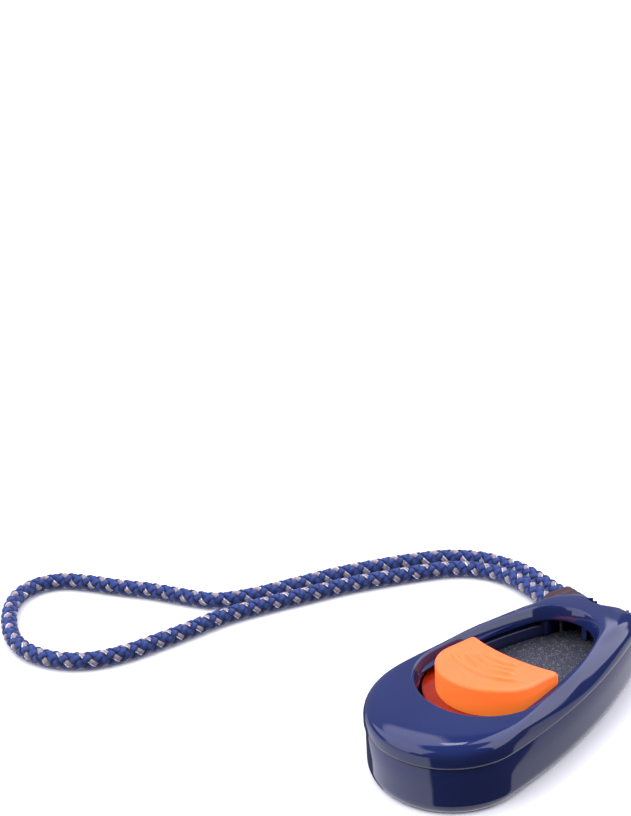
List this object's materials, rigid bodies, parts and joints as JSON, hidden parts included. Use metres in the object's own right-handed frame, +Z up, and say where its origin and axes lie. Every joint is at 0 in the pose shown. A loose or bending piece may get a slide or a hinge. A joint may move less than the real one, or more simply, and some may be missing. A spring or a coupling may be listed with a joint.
{
  "type": "clicker trainer",
  "caption": "Hand-held pet training clicker: egg-shaped casing with a thumb well, steel click blade, crescent volume slider and a braided wrist loop on the eyelet.",
  "frame": {"origin": "on the resting surface, under the middle of the casing's length and width, lanyard left out", "axes": "+X along the casing towards the eyelet, +Z up out of the thumb well, +Y to the left seen from the wide end"},
  "size_m": [0.108, 0.1458, 0.0183],
  "materials": {
    "navy_gloss": "gloss navy injection moulding with rounded edges",
    "dark_plastic": "satin dark blue moulding",
    "blade_steel": "pressed spring steel with a coarse sparkling grain",
    "coral_soft": "satin coral orange moulding",
    "amber_clear": "translucent orange-red moulding",
    "black_rubber": "matt black rubber",
    "screw_steel": "bright zinc-plated steel",
    "string_fibre": "thin twisted grey-brown string",
    "maroon_sleeve": "dark maroon-brown moulded sleeve",
    "blue_braid": "blue braided cord with a grey reflective tracer"
  },
  "bodies": {
    "casing": {"top_shell": "navy_gloss", "bottom_shell": "navy_gloss", "guide_frame": "dark_plastic", "blade_stop_pad": "black_rubber", "blade_screw_left": "screw_steel", "blade_screw_right": "screw_steel", "case_screw_back": "screw_steel", "case_screw_left": "screw_steel", "case_screw_right": "screw_steel", "string_hitch": "string_fibre", "lanyard_string": "string_fibre", "lanyard_cord": "blue_braid", "lanyard_clasp": "maroon_sleeve"},
    "blade": {"click_blade": "blade_steel"},
    "slider": {"slider_carriage": "amber_clear", "slider_grip": "coral_soft", "damper_pad": "black_rubber"},
    "adjuster": {"lanyard_adjuster": "maroon_sleeve"}
  },
  "joints": [
    {"name": "blade_press", "type": "hinge", "parent": "casing", "child": "blade", "pos_m": [-0.026, 0, 0.00825], "axis": [0, 1, 0], "range_deg": [0, 3.8], "stiffness_Nm_per_rad": 0.3},
    {"name": "volume_slide", "type": "slide", "parent": "casing", "child": "slider", "axis": [1, 0, 0], "range_m": [-0.003, 0.003]},
    {"name": "adjuster_slide", "type": "slide", "parent": "casing", "child": "adjuster", "axis": [0.2541, 0.9672, 0], "range_m": [0, 0.012]}
  ]
}
